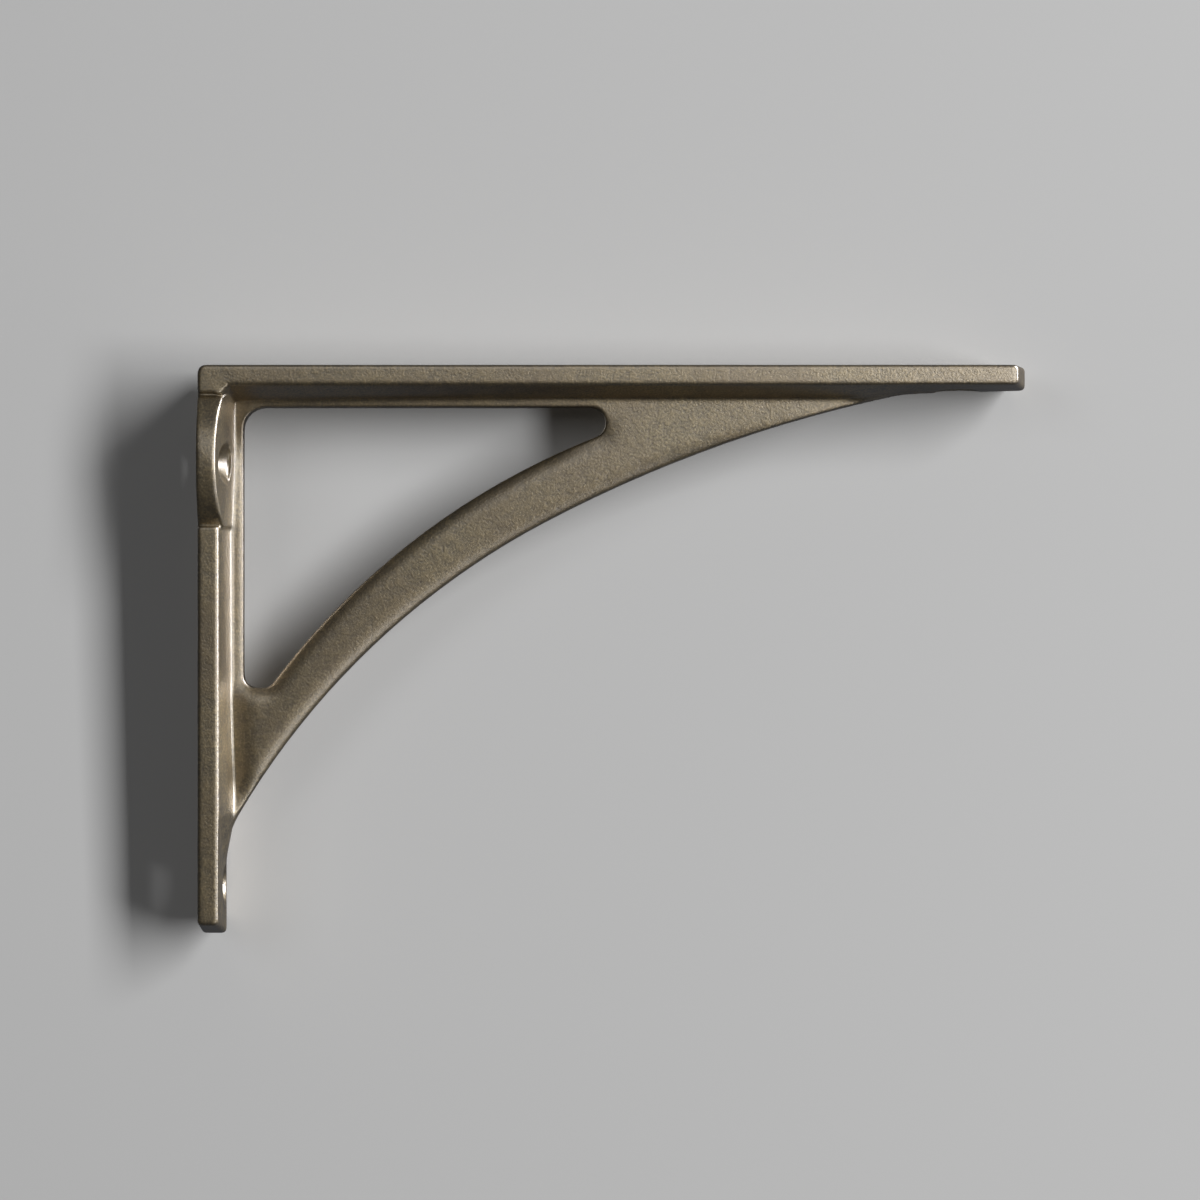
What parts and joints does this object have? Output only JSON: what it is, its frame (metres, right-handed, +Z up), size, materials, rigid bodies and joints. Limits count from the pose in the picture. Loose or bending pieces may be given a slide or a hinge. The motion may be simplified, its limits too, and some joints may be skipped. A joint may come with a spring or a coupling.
{
  "type": "cast iron shelf bracket",
  "caption": "Right-angled shelf bracket, cast in one piece: a wall strip with round screw ears, a shelf strip, and a web with an arched brace and an open triangle.",
  "frame": {"origin": "on the flat wall face, on the middle plane of the web, at half the bracket's height", "axes": "+X away from the wall along the shelf strip, +Y across the strips, +Z up towards the shelf face"},
  "size_m": [0.2032, 0.0318, 0.1396],
  "materials": {
    "casting": "antique bronze lacquer over cast iron, satin, finely mottled"
  },
  "bodies": {
    "root": {"bracket_casting": "casting"}
  },
  "joints": []
}
